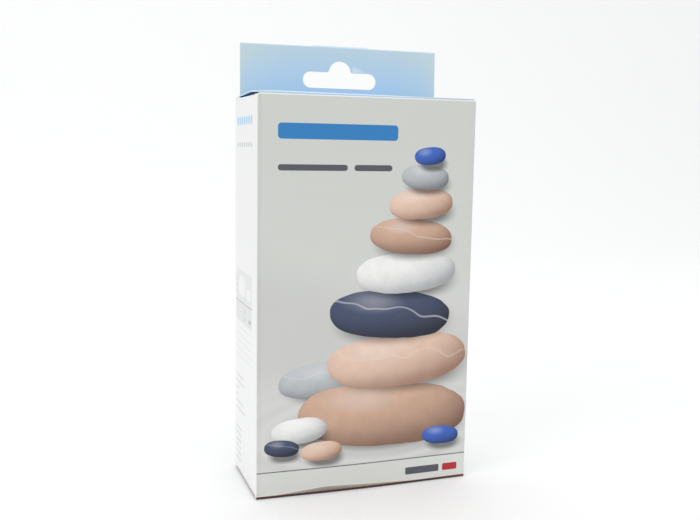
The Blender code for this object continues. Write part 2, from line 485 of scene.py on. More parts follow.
class PebbleGroup:
    """The node group that draws one pebble: its colour, its cover and its shadow."""

    ROUNDNESS = 2.35
    FULLNESS = 2.6
    LUMPS = 0.16
    SHADOW_SHIFT = (-1.6, 3.4, 0.0)
    SHADOW = 0.72
    SHINE_PLACE = (-0.30, 0.50, 0.0)
    SHINE = 0.20
    SHINE_COLOUR = (0.95, 0.95, 0.95)
    LIGHT = (-0.36, 0.62, 0.62)
    LIT = (-0.55, 0.95)
    GLOW = 0.16
    VEIN_COLOUR = (0.9, 0.9, 0.9)
    SEED_STEP = 31.7
    INPUTS = {
        "Point": "Vector", "Centre": "Vector", "Half": "Vector", "Turn": "Float",
        "Light": "Color", "Dark": "Color", "Vein": "Float", "Seed": "Float",
    }
    OUTPUTS = {"Colour": "Color", "Cover": "Float", "Shadow": "Float"}

    def __init__(self) -> None:
        """Builds the group."""
        self.tree = bpy.data.node_groups.new("printed_pebble", "ShaderNodeTree")
        for way, sockets in (("INPUT", self.INPUTS), ("OUTPUT", self.OUTPUTS)):
            for label, kind in sockets.items():
                self.tree.interface.new_socket(label, in_out=way, socket_type="NodeSocket" + kind)
        graph = Graph(self.tree)
        given = graph.node("NodeGroupInput").outputs
        result = graph.node("NodeGroupOutput").inputs
        offset = graph.vector("SUBTRACT", given["Point"], given["Centre"])
        rotate = graph.node("ShaderNodeVectorRotate", offset, rotation_type="Z_AXIS")
        graph.feed(rotate.inputs["Angle"], graph.times(given["Turn"], -1.0))
        turned = rotate.outputs[0]
        seeded = graph.vector("ADD", turned, graph.join(0.0, 0.0, given["Seed"]))
        share = graph.vector("DIVIDE", turned, given["Half"])
        lumps = graph.swing(graph.noise(seeded, 0.055, 2.0), self.LUMPS, 1.0)
        reach = graph.times(self.reach(graph, share), lumps)
        graph.feed(result["Cover"], graph.step(reach, 1.006, 0.994))
        graph.feed(result["Colour"], self.face(graph, given, seeded, share, reach))
        below = graph.vector("DIVIDE", graph.vector("ADD", offset, self.SHADOW_SHIFT), given["Half"])
        graph.feed(result["Shadow"], graph.step(self.reach(graph, below), 1.12, 0.55))

    def face(
        self, graph: Graph, given: bpy.types.bpy_prop_collection, seeded: Socket, share: Socket,
        reach: Socket,
    ) -> Socket:
        """Colours the stone as a rounded body under soft light from the upper left.

        Args:
            graph: the group's graph.
            given: the group's inputs.
            seeded: the point on the stone, which its marks are drawn from.
            share: the point as shares of the stone's half sizes.
            reach: the distance from the middle, 1 at the outline.

        Returns:
            The stone's colour.
        """
        u, v, _ = graph.split(share)
        swell = graph.math("SUBTRACT", 1.0, graph.math("POWER", reach, self.FULLNESS), clamp=True)
        rise = graph.math("SQRT", swell)
        above = graph.math("MULTIPLY_ADD", v, self.LIGHT[1], graph.times(rise, self.LIGHT[2]))
        lit = graph.step(graph.math("MULTIPLY_ADD", u, self.LIGHT[0], above), *self.LIT)
        glow = graph.step(graph.math("MULTIPLY_ADD", v, -1.0, graph.times(rise, -0.3)), 0.35, 1.0)
        tone = graph.math("MULTIPLY_ADD", glow, self.GLOW, lit, clamp=True)
        body = graph.mix(tone, given["Dark"], given["Light"])
        grit = graph.swing(graph.noise(seeded, 3.2, 4.0, 0.7), 0.16, 0.88)
        stone = graph.shade(body, graph.math("MULTIPLY_ADD", graph.noise(seeded, 0.16), 0.24, grit))
        swirl = graph.swing(graph.noise(seeded, 0.05, 1.0, 0.4), 1.3, 0.0)
        warp = graph.math("ADD", swirl, graph.math("MULTIPLY_ADD", u, 0.30, v))
        line = graph.step(graph.math("ABSOLUTE", graph.math("SUBTRACT", warp, 0.16)), 0.055, 0.015)
        pale = graph.mix(0.35, given["Light"], self.VEIN_COLOUR)
        veined = graph.mix(graph.times(line, given["Vein"]), stone, pale)
        spot = graph.length(graph.vector("SUBTRACT", share, self.SHINE_PLACE))
        return graph.mix(graph.times(graph.step(spot, 0.62, 0.0), self.SHINE), veined, self.SHINE_COLOUR)

    def reach(self, graph: Graph, share: Socket) -> Socket:
        """The distance of a point from the middle, where the outline is at 1."""
        u, v, _ = graph.split(graph.vector("ABSOLUTE", share))
        powers = [graph.math("POWER", part, self.ROUNDNESS) for part in (u, v)]
        return graph.math("POWER", graph.math("ADD", *powers), 1.0 / self.ROUNDNESS)

    def draw(self, graph: Graph, flat: Socket, pebble: Pebble, seed: float, below: Socket) -> Socket:
        """Draws a pebble and its shadow over what is printed so far.

        Args:
            graph: the material's graph.
            flat: the point on the panel, in millimetres.
            pebble: the pebble.
            seed: tells its marks from the others'.
            below: the colour so far.

        Returns:
            The colour with the pebble on it.
        """
        values = (
            flat, (pebble.x, pebble.z, 0.0), (pebble.half_width, pebble.half_height, 1.0),
            math.radians(pebble.turn), pebble.stone.light, pebble.stone.dark, pebble.vein, seed,
        )
        made = graph.node("ShaderNodeGroup", node_tree=self.tree)
        for socket, value in zip(made.inputs, values):
            graph.feed(socket, value)
        under = graph.darken(below, made.outputs["Shadow"], self.SHADOW)
        return graph.mix(made.outputs["Cover"], under, made.outputs["Colour"])


@dataclass(frozen=True)
class FrontPrint:
    """The front's generic design: a stack of smooth stones on pale, rippled water.

    Places on the panel are in millimetres, across from its middle and up from its foot.
    """

    sizes: Measures
    ground_top: Colour = (0.605, 0.625, 0.592)
    ground_low: Colour = (0.655, 0.658, 0.643)
    haze: Colour = (0.535, 0.540, 0.522)
    strip_left: Colour = (0.666, 0.676, 0.652)
    strip_right: Colour = (0.706, 0.722, 0.692)
    rule: Colour = (0.16, 0.15, 0.15)
    blue: Colour = (0.022, 0.20, 0.50)
    ink: Colour = (0.085, 0.09, 0.11)
    mark: Colour = (0.45, 0.02, 0.03)
    red: Colour = (0.17, 0.020, 0.022)
    # Painted shadow: near-black at the very foot, for the contact shadow where the carton meets the floor.
    foot_shadow: Colour = (0.030, 0.020, 0.024)
    worn: Colour = (0.80, 0.70, 0.59)
    # Painted shade: the dark wedge under the lip over the front wall's foot, darker and warmer towards the
    # bottom.
    lip_shade_top: Colour = (0.325, 0.335, 0.272)
    lip_shade_low: Colour = (0.200, 0.165, 0.135)
    ground_span: Span = (40.0, 160.0)
    haze_slope: float = 0.28
    haze_span: Span = (104.0, 74.0)
    haze_amount: float = 0.50
    strip_height: float = 12.0
    strip_span: Span = (-5.0, 46.0)
    water_line: float = 54.0
    water_over: float = 8.0
    water_under: float = 10.0
    water_amount: float = 0.85
    ring_middle: Span = (8.0, 27.0)
    ring_squash: float = 3.1
    ring_power: float = 0.88
    ring_pitch: float = 0.85
    ring_span: Span = (95.0, 40.0)
    ripple: float = 0.055
    lip_shade_span: Span = (0.1, 1.7)
    lip_shade_edge: Span = (-0.08, 0.12)
    lip_shade_amount: float = 0.92
    worn_band: Place = (0.05, 0.42, 0.12)
    foot_shadow_span: Span = (50.0, 44.0)
    red_top: float = 1.25
    foot_shadow_top: float = 0.95
    lip_slopes: tuple[Span, Span] = ((0.0885, 4.95), (-0.047, 2.40))
    # Painted shade along the front's left crease.
    crease_shade_width: float = 2.6
    crease_shade: float = 0.06

    def bars(self) -> Sequence[Bar]:
        """The plain bars near the top and on the strip at the foot."""
        top = self.sizes.top / MM
        return (
            Bar(0.0, self.strip_height, 120.0, 0.5, 0.1, self.rule),
            Bar(-14.6, top - 16.4, 54.8, 6.8, 1.6, self.blue),
            Bar(-26.3, top - 31.9, 31.4, 2.7, 1.3, self.ink),
            Bar(1.4, top - 31.9, 17.8, 2.7, 1.3, self.ink),
            Bar(28.6, 6.0, 17.2, 3.4, 0.6, self.ink),
            Bar(42.9, 6.0, 7.6, 3.4, 0.6, self.mark),
        )

    def pebbles(self) -> Sequence[Pebble]:
        """The stones, from the back to the front."""
        return (
            Pebble(-17.0, 52.5, 24.0, 8.5, 3.0, SILVER, 0.4),
            Pebble(9.0, 34.5, 41.0, 15.0, -2.5, TAN),
            Pebble(15.5, 59.5, 34.0, 12.5, 3.5, PEACH, 0.25),
            Pebble(11.0, 81.0, 29.0, 11.0, -4.0, NAVY, 0.9),
            Pebble(18.5, 99.8, 24.0, 9.2, 3.0, WHITE),
            Pebble(20.5, 116.2, 20.0, 8.0, -4.0, TAN, 0.5),
            Pebble(25.0, 130.8, 15.5, 6.8, 4.0, PEACH),
            Pebble(26.5, 143.0, 11.5, 5.4, -3.0, SILVER),
            Pebble(28.5, 152.4, 7.6, 4.0, 5.0, ROYAL),
            Pebble(-31.5, 30.0, 13.0, 5.8, 4.0, WHITE, 0.2),
            Pebble(-39.5, 22.5, 8.0, 3.8, -6.0, NAVY, 0.6),
            Pebble(-21.0, 19.9, 9.6, 4.4, 3.0, PEACH),
            Pebble(37.5, 22.0, 9.5, 4.3, -4.0, ROYAL),
        )

    def paint(self, graph: Graph, place: Socket) -> Socket:
        """Draws the whole front.

        Args:
            graph: the material's graph.
            place: the point's place, in metres.

        Returns:
            The printed colour.
        """
        x, _, z = graph.in_mm(place)
        flat = graph.join(x, z)
        colour = graph.mix(graph.step(z, *self.ground_span), self.ground_low, self.ground_top)
        slope = graph.math("MULTIPLY_ADD", x, self.haze_slope, z)
        hazy = graph.times(graph.step(slope, *self.haze_span), self.haze_amount)
        colour = graph.mix(hazy, colour, self.haze)
        water = graph.step(z, self.water_line + self.water_over, self.water_line - self.water_under)
        colour = graph.mix(graph.times(water, self.water_amount), colour, self.ground_low)
        colour = self.ripples(graph, x, z, water, colour)
        group = PebbleGroup()
        for number, pebble in enumerate(self.pebbles()):
            colour = group.draw(graph, flat, pebble, group.SEED_STEP * (number + 1), colour)
        strip = graph.mix(graph.step(x, *self.strip_span), self.strip_left, self.strip_right)
        colour = self.below(graph, z, self.strip_height, colour, strip)
        for bar in self.bars():
            colour = bar.draw(graph, flat, colour)
        return self.creases(graph, x, z, colour)

    @staticmethod
    def below(
        graph: Graph, z: Socket, height: float, above: Socket, under: object, soft: float = 0.1,
    ) -> Socket:
        """One colour above a height and another under it."""
        return graph.mix(graph.step(z, height + soft, height - soft), above, under)

    def ripples(self, graph: Graph, x: Socket, z: Socket, water: Socket, colour: Socket) -> Socket:
        """Adds the faint rings on the water round the stack's foot."""
        across, up = [graph.math("SUBTRACT", *pair) for pair in zip((x, z), self.ring_middle)]
        far = graph.length(graph.join(across, graph.times(up, self.ring_squash)))
        ring = graph.math("SINE", graph.times(graph.math("POWER", far, self.ring_power), self.ring_pitch))
        ring = graph.times(ring, graph.step(far, *self.ring_span), water)
        return graph.darken(colour, ring, self.ripple)

    def creases(self, graph: Graph, x: Socket, z: Socket, colour: Socket) -> Socket:
        """Adds painted shade by the left crease and under the foot's lip, the worn line, the dark red from
        the bottom panel and a painted contact shadow at the very foot.

        Args:
            graph: the material's graph.
            x: the place across, in millimetres.
            z: the place up, in millimetres.
            colour: the print.

        Returns:
            The print, with painted shade by the left crease and under the foot's lip, worn at
            the foot, with the dark red that comes round from the bottom panel and a painted shadow below
            it.
        """
        left, width = self.sizes.left / MM, self.crease_shade_width
        # Painted shade: a little darker just inside the left crease.
        colour = graph.darken(colour, graph.step(x, left + width, left + width / 2), self.crease_shade)
        rise, fall = [graph.math("MULTIPLY_ADD", x, *slope) for slope in self.lip_slopes]
        lip_top = graph.math("SMOOTH_MIN", rise, fall, 0.6)
        under = graph.math("SUBTRACT", lip_top, z)
        # Painted shade under the lip, where the wall's foot turns downward.
        lip_shade = graph.mix(graph.step(under, *self.lip_shade_span), self.lip_shade_top, self.lip_shade_low)
        amount = graph.times(graph.step(under, *self.lip_shade_edge), self.lip_shade_amount)
        colour = graph.mix(amount, colour, lip_shade)
        edge = graph.math("SUBTRACT", z, graph.math("MAXIMUM", lip_top, self.red_top))
        chips = graph.swing(graph.noise(graph.join(x, z), 0.5), 0.5, 0.8)
        worn = graph.times(graph.between(edge, *self.worn_band), chips)
        colour = graph.mix(graph.math("MINIMUM", worn, 1.0), colour, self.worn)
        colour = self.below(graph, z, self.red_top, colour, self.red, 0.06)
        # Painted shadow: near-black at the very foot, for the contact shadow against the floor, faded out
        # towards the right end.
        shadowed = self.below(graph, z, self.foot_shadow_top, colour, self.foot_shadow)
        return graph.mix(graph.step(x, *self.foot_shadow_span), colour, shadowed)


@dataclass(frozen=True)
class TypeRow:
    """A row of fine print: its height, its two ends and its strength."""

    z: float
    start: float
    end: float
    strength: float


@dataclass(frozen=True)
class SidePrint:
    """The left side's generic print: plain bars, a pale block and rows of fine marks.

    Places are in millimetres, across from the panel's middle towards the front, and up.
    """

    sizes: Measures
    ground: Colour = (0.82, 0.82, 0.82)
    ground_top: Colour = (0.805, 0.805, 0.805)
    ground_low: Colour = (0.855, 0.855, 0.855)
    blue: Colour = (0.36, 0.59, 0.80)
    grey: Colour = (0.42, 0.43, 0.44)
    soft: Colour = (0.58, 0.58, 0.58)
    block: Colour = (0.715, 0.73, 0.71)
    table: Colour = (0.715, 0.715, 0.715)
    left: float = -19.0
    right: float = 14.3
    ground_span: Span = (150.0, 5.0)
    row_height: float = 1.3
    mark_stretch: float = 0.35
    mark_gaps: Span = (0.34, 0.44)
    row_parts: int = 7

    def bars(self) -> Sequence[Bar]:
        """The bars and the block, from the top down."""
        top = self.sizes.top / MM
        middle, width = (self.left + self.right) / 2, self.right - self.left
        pitch = (width - 1.0) / self.row_parts
        steps = [self.left + 1.0 + pitch * (part + 0.5) for part in range(self.row_parts)]
        return (
            *[Bar(step, top - 11.8, pitch - 1.3, 3.7, 1.0, self.blue) for step in steps],
            *[Bar(step, top - 22.5, pitch - 1.7, 2.2, 0.9, self.soft) for step in steps],
            Bar(middle, 86.6, width, 24.2, 0.4, self.block),
            Bar(-6.0, 91.6, 15.0, 9.2, 4.5, self.ground),
            Bar(7.6, 89.4, 8.6, 5.0, 2.4, self.ground),
            Bar(middle, 79.2, width, 9.4, 0.3, self.table),
            Bar(middle, 83.9, width, 0.5, 0.2, self.grey),
            *[Bar(0.0, z, 1.3, 1.8, 0.4, self.grey) for z in (80.5, 77.0)],
            Bar(9.9, 77.4, 4.2, 1.8, 0.6, self.grey),
            *[Bar(self.left + 1.1, 79.0 + 2.9 * row, 0.9, 1.3, 0.3, self.grey) for row in range(6)],
        )

    def rows(self) -> Sequence[TypeRow]:
        """The rows of fine print: wide and faint, then short and darker by the back."""
        wide = [TypeRow(58.0 + 3.4 * row, self.left, self.right, 0.16) for row in range(5)]
        ends = (-3.0, -1.5, -12.5, -13.5, -3.0, 0.4)
        upper = [TypeRow(48.0 - 3.25 * row, self.left, end, 0.42) for row, end in enumerate(ends)]
        lower = [TypeRow(22.2 - 3.1 * row, self.left, -7.0 - 0.4 * row, 0.42) for row in range(6)]
        return (*wide, *upper, *lower)

    def paint(self, graph: Graph, place: Socket) -> Socket:
        """Draws the side.

        Args:
            graph: the material's graph.
            place: the point's place, in metres.

        Returns:
            The printed colour.
        """
        _, y, z = graph.in_mm(place)
        across = graph.times(y, -1.0)
        flat = graph.join(across, z)
        colour = graph.mix(graph.step(z, *self.ground_span), self.ground_top, self.ground_low)
        for bar in self.bars():
            colour = bar.draw(graph, flat, colour)
        stretched = graph.join(across, graph.times(z, self.mark_stretch))
        marks = graph.step(graph.noise(stretched, 0.9, 1.0), *self.mark_gaps)
        half = self.row_height / 2
        for row in self.rows():
            inside = graph.between(across, row.start, row.end, 0.2)
            line = graph.times(graph.between(z, row.z - half, row.z + half, 0.15), inside)
            colour = graph.mix(graph.times(line, marks, row.strength), colour, self.grey)
        return colour


@dataclass(frozen=True)
class TabPrint:
    """The pale blue print of the tab and the lid, with a painted sheen that greys it towards the tab's top
    and its sides.
    """

    sizes: Measures
    spring: Spring
    blue: Colour = (0.468, 0.665, 0.866)
    # Painted sheen: the grey the blue turns to towards the tab's top and sides, where the gloss catches the
    # surroundings.
    grey: Colour = (0.552, 0.680, 0.727)
    # Pale colour of the folds: whitened ink, with a painted highlight along the lid's front crease.
    worn: Colour = (0.76, 0.91, 0.99)
    pale_patch: Colour = (0.78, 0.85, 0.90)
    sheen_amount: float = 0.80
    sheen_sides: tuple[Place, Place] = ((22.0, 50.0, 0.30), (44.0, 49.5, 0.25))
    cloud: float = 0.24
    cloud_scale: float = 60.0
    rise: float = 0.5
    fold_line: float = 0.35
    fold_amount: float = 0.7
    patch_left: float = 6.4
    patch_width: float = 8.0
    patch_foot: float = 12.75
    patch_height: float = 2.9
    # The pale line along the lid's front crease: whitened ink with a painted highlight.
    crease_line_height: Span = (0.45, 0.25)
    crease_line_depth: Span = (2.1, 1.6)
    crease_line_end: float = 42.0
    crease_line_fade: float = 0.75
    # Painted shade near the lid's front crease, over its right part.
    shade_span: Span = (5.0, 45.0)
    shade: float = 0.28

    def paint(self, graph: Graph, place: Socket) -> Socket:
        """Draws the blue with its painted sheen, a soft change to grey.

        Args:
            graph: the material's graph.
            place: the point's place, in metres.

        Returns:
            The printed colour.
        """
        x, y, z = graph.in_mm(place)
        foot, top = self.sizes.tab_foot / MM, self.sizes.tab_top / MM
        out = graph.math("ABSOLUTE", x)
        # Painted sheen: greyer towards the tab's top and sides, with soft clouds in it.
        grey = graph.times(graph.step(z, foot + 5.0, top + 1.0), self.sheen_amount)
        for start, end, amount in self.sheen_sides:
            grey = graph.math("MULTIPLY_ADD", graph.step(out, start, end), amount, grey)
        cloud = graph.swing(graph.noise(place, self.cloud_scale), self.cloud, 0.0)
        grey = graph.math("ADD", grey, cloud, clamp=True)
        colour = self.pale_patched(graph, x, z, graph.mix(grey, self.blue, self.grey))
        level = top - self.rise
        fold = graph.times(graph.step(z, level - self.fold_line, level), self.fold_amount)
        return self.creased(graph, x, y, z, graph.mix(fold, colour, self.worn))

    def pale_patched(self, graph: Graph, x: Socket, z: Socket, colour: Socket) -> Socket:
        """Adds a small pale wedge over the slot's right arm."""
        up = graph.math("SUBTRACT", z, self.sizes.tab_foot / MM + self.patch_foot)
        share = graph.math("DIVIDE", graph.math("SUBTRACT", x, self.patch_left), self.patch_width)
        slope = graph.math("MULTIPLY_ADD", share, -self.patch_height, self.patch_height)
        over = graph.step(graph.math("SUBTRACT", up, slope), 0.9, -1.1)
        inside = graph.times(graph.between(share, 0.0, 1.0, 0.09), graph.step(up, -0.3, 0.1), over)
        amount = graph.math("MULTIPLY_ADD", share, -0.5, 0.8, clamp=True)
        return graph.mix(graph.times(inside, amount), colour, self.pale_patch)

    def creased(self, graph: Graph, x: Socket, y: Socket, z: Socket, colour: Socket) -> Socket:
        """Adds a pale line along the lid's front crease, whitened ink with a painted highlight, and painted
        shade near the crease over its right part.
        """
        s, spring = self.sizes, self.spring
        slope = (spring.crease_right - spring.crease_left) / (s.right - s.left)
        level = graph.math("MULTIPLY_ADD", x, -slope, z)
        middle, front = (s.top + spring.crease(0.0)) / MM, s.front / MM
        high = graph.step(level, *[middle - below for below in self.crease_line_height])
        near = graph.step(y, *[front + depth for depth in self.crease_line_depth])
        chips = graph.swing(graph.noise(graph.join(x, y), 0.6), 0.6, 0.75)
        fade = graph.math("MULTIPLY_ADD", graph.step(x, 0.0, self.crease_line_end), -self.crease_line_fade, 1.0)
        # Painted shade near the front crease.
        shaded = graph.darken(colour, graph.times(near, graph.step(x, *self.shade_span)), self.shade)
        # Pale crease line: whitened ink with a painted highlight.
        return graph.mix(graph.times(high, near, chips, fade), shaded, self.worn)


class Finishes:
    """Every face of the board, made once and shared by the panels."""

    PLAIN = (0.63, 0.635, 0.625)
    CUT = (0.86, 0.86, 0.85)
    INKED = (0.62, 0.82, 0.94)
    INNER = (0.70, 0.69, 0.655)
    # Painted shade: a deep blue near the lid's inner edges, for the blue-tinted shade seen in the slit
    # under the lid.
    SLIT_SHADE_BLUE = (0.22, 0.28, 0.47)
    MARGIN = (46.6, 47.8)

    def __init__(self, sizes: Measures, spring: Spring) -> None:
        """Makes the materials."""
        self.front = GLOSSY.material("front_print", FrontPrint(sizes).paint)
        self.side = GLOSSY.material("side_print", SidePrint(sizes).paint)
        self.blue = GLOSSY.material("blue_print", TabPrint(sizes, spring).paint)
        self.white = GLOSSY.tint("white_print", SidePrint.ground)
        self.plain = GLOSSY.tint("plain_print", self.PLAIN)
        self.red = GLOSSY.tint("red_print", FrontPrint.red, 0.05)
        self.raw = UNCOATED.tint("cut_edge", self.CUT, 0.05)
        self.inked = UNCOATED.tint("inked_edge", self.INKED, 0.05)
        self.inner = UNCOATED.tint("inner_face", self.INNER, 0.04)
        self.lid_inner = UNCOATED.material("lid_inner_face", self.painted_slit_shade)

    def painted_slit_shade(self, graph: Graph, place: Socket) -> Socket:
        """The lid's inner face: bare board, with painted blue shade near its edges for the dark slit under
        the lid.
        """
        out = graph.math("ABSOLUTE", graph.in_mm(place)[0])
        return graph.mix(graph.step(out, *self.MARGIN), self.INNER, self.SLIT_SHADE_BLUE)


@dataclass
class Fold:
    """A fold's profile: points on the printed face and its normals, in a plane."""

    points: list[Span] = field(default_factory=list)
    normals: list[Span] = field(default_factory=list)

    def run(self, start: Span, end: Span, normal: Span, steps: int = 1) -> "Fold":
        """Adds a straight run.

        Args:
            start: where it starts.
            end: where it ends.
            normal: the printed face's normal.
            steps: how many parts it has.

        Returns:
            The fold, so that runs and bends can be chained.
        """
        for point in zip(spread(start[0], end[0], steps), spread(start[1], end[1], steps)):
            self.add(point, normal)
        return self

    def bend(self, centre: Span, radius: float, start: float, end: float, sign: int = 1) -> "Fold":
        """Adds a round bend, with its angles in degrees.

        Args:
            centre: the bend's centre.
            radius: the printed face's radius.
            start: the angle where it starts.
            end: the angle where it ends.
            sign: -1 where the printed face is on the inside of the bend.

        Returns:
            The fold.
        """
        for angle in spread(start, end, 8):
            self.add(polar(centre, radius, angle), polar((0.0, 0.0), sign, angle))
        return self

    def flap(
        self, start: float, end: float, radius: float, steps: int, place: Callable[[float], Span],
        normal: Span,
    ) -> "Fold":
        """Adds a flap's straight run, with its points closer together in its round corners.

        Args:
            start: where it starts, as a distance along it.
            end: where it ends.
            radius: the radius of the corners at its end.
            steps: how many parts there are before them.
            place: turns a distance into a point of the profile.
            normal: the printed face's normal.

        Returns:
            The fold.
        """
        straight = end - radius
        corner = [straight + radius * math.sin(math.radians(angle)) for angle in range(10, 91, 10)]
        for distance in (*spread(start, straight, steps), *corner):
            self.add(place(distance), normal)
        return self

    def add(self, point: Span, normal: Span) -> None:
        """Adds a point, unless the last one is already there."""
        if not self.points or math.dist(self.points[-1], point) >= 1e-7:
            self.points.append(point)
            self.normals.append(normal)


def keep_rest(mesh: bpy.types.Mesh, smooth: float) -> None:
    """Shades a mesh and stores each point's place at rest, which prints are drawn from."""
    mesh.shade_smooth()
    mesh.set_sharp_from_angle(angle=math.radians(smooth))
    places = np.zeros(len(mesh.vertices) * 3, np.float32)
    mesh.vertices.foreach_get("co", places)
    old = mesh.attributes.get(REST)
    if old is not None:
        mesh.attributes.remove(old)
    mesh.attributes.new(REST, "FLOAT_VECTOR", "POINT").data.foreach_set("vector", places)


def finished(
    name: str, vertices: Sequence[Place], faces: Sequence[Sequence[int]],
    materials: Sequence[bpy.types.Material], slots: Sequence[int], smooth: float,
) -> bpy.types.Object:
    """Makes a closed solid with its faces turned outward.

    Args:
        name: the piece's name.
        vertices: its points, in the row frame.
        faces: its faces.
        materials: its materials.
        slots: the material of each face.
        smooth: the angle in degrees past which an edge is sharp.

    Returns:
        The new object.
    """
    mesh = bpy.data.meshes.new(name)
    mesh.from_pydata(vertices, [], faces)
    for material in materials:
        mesh.materials.append(material)
    mesh.polygons.foreach_set("material_index", slots)
    work = bmesh.new()
    work.from_mesh(mesh)
    bmesh.ops.recalc_face_normals(work, faces=work.faces)
    if work.calc_volume(signed=True) < 0:
        bmesh.ops.reverse_faces(work, faces=work.faces)
    work.to_mesh(mesh)
    work.free()
    keep_rest(mesh, smooth)
    piece = bpy.data.objects.new(name, mesh)
    bpy.context.scene.collection.objects.link(piece)
    return piece


def sheet(
    name: str, face: np.ndarray, back: np.ndarray, prints: np.ndarray,
    materials: Sequence[bpy.types.Material], smooth: float = FLAT_SMOOTH,
) -> bpy.types.Object:
    """Builds a sheet of board from a grid: rows follow its fold, and columns run across it.

    Args:
        name: the piece's name.
        face: the points of the printed face.
        back: the points of the inner face.
        prints: the material of each part of the printed face.
        materials: the prints, and last the inner face's and the cut edges'.
        smooth: the angle in degrees past which an edge is sharp.

    Returns:
        The new object, at rest in the row frame.
    """
    rows, columns = face.shape[:2]
    count = rows * columns
    vertices = np.concatenate([face.reshape(-1, 3), back.reshape(-1, 3)])
    number = np.arange(count).reshape(rows, columns).tolist()
    faces: list[tuple[int, ...]] = []
    slots: list[int] = []
    for row in range(rows - 1):
        for column in range(columns - 1):
            a, b = number[row][column:column + 2]
            d, c = number[row + 1][column:column + 2]
            faces += [(a, b, c, d), (a + count, d + count, c + count, b + count)]
            slots += [int(prints[row, column]), len(materials) - 2]
    right, left = [line[-1] for line in number], [line[0] for line in number]
    rim = [*number[0], *right[1:-1], *number[-1][::-1], *left[-2:0:-1]]
    for here, after in zip(rim, rim[1:] + rim[:1]):
        faces.append((here, here + count, after + count, after))
        slots.append(len(materials) - 1)
    return finished(name, vertices.tolist(), faces, materials, slots, smooth)


@dataclass
class Panel:
    """What the carton's panels share: its measures, its spring and its finishes."""

    sizes: Measures
    spring: Spring
    finishes: Finishes


@dataclass(frozen=True)
class Station:
    """A place on the walls' path: a point on the printed face, its normal and its print."""

    x: float
    y: float
    normal: Span
    slot: int
    wall: Wall


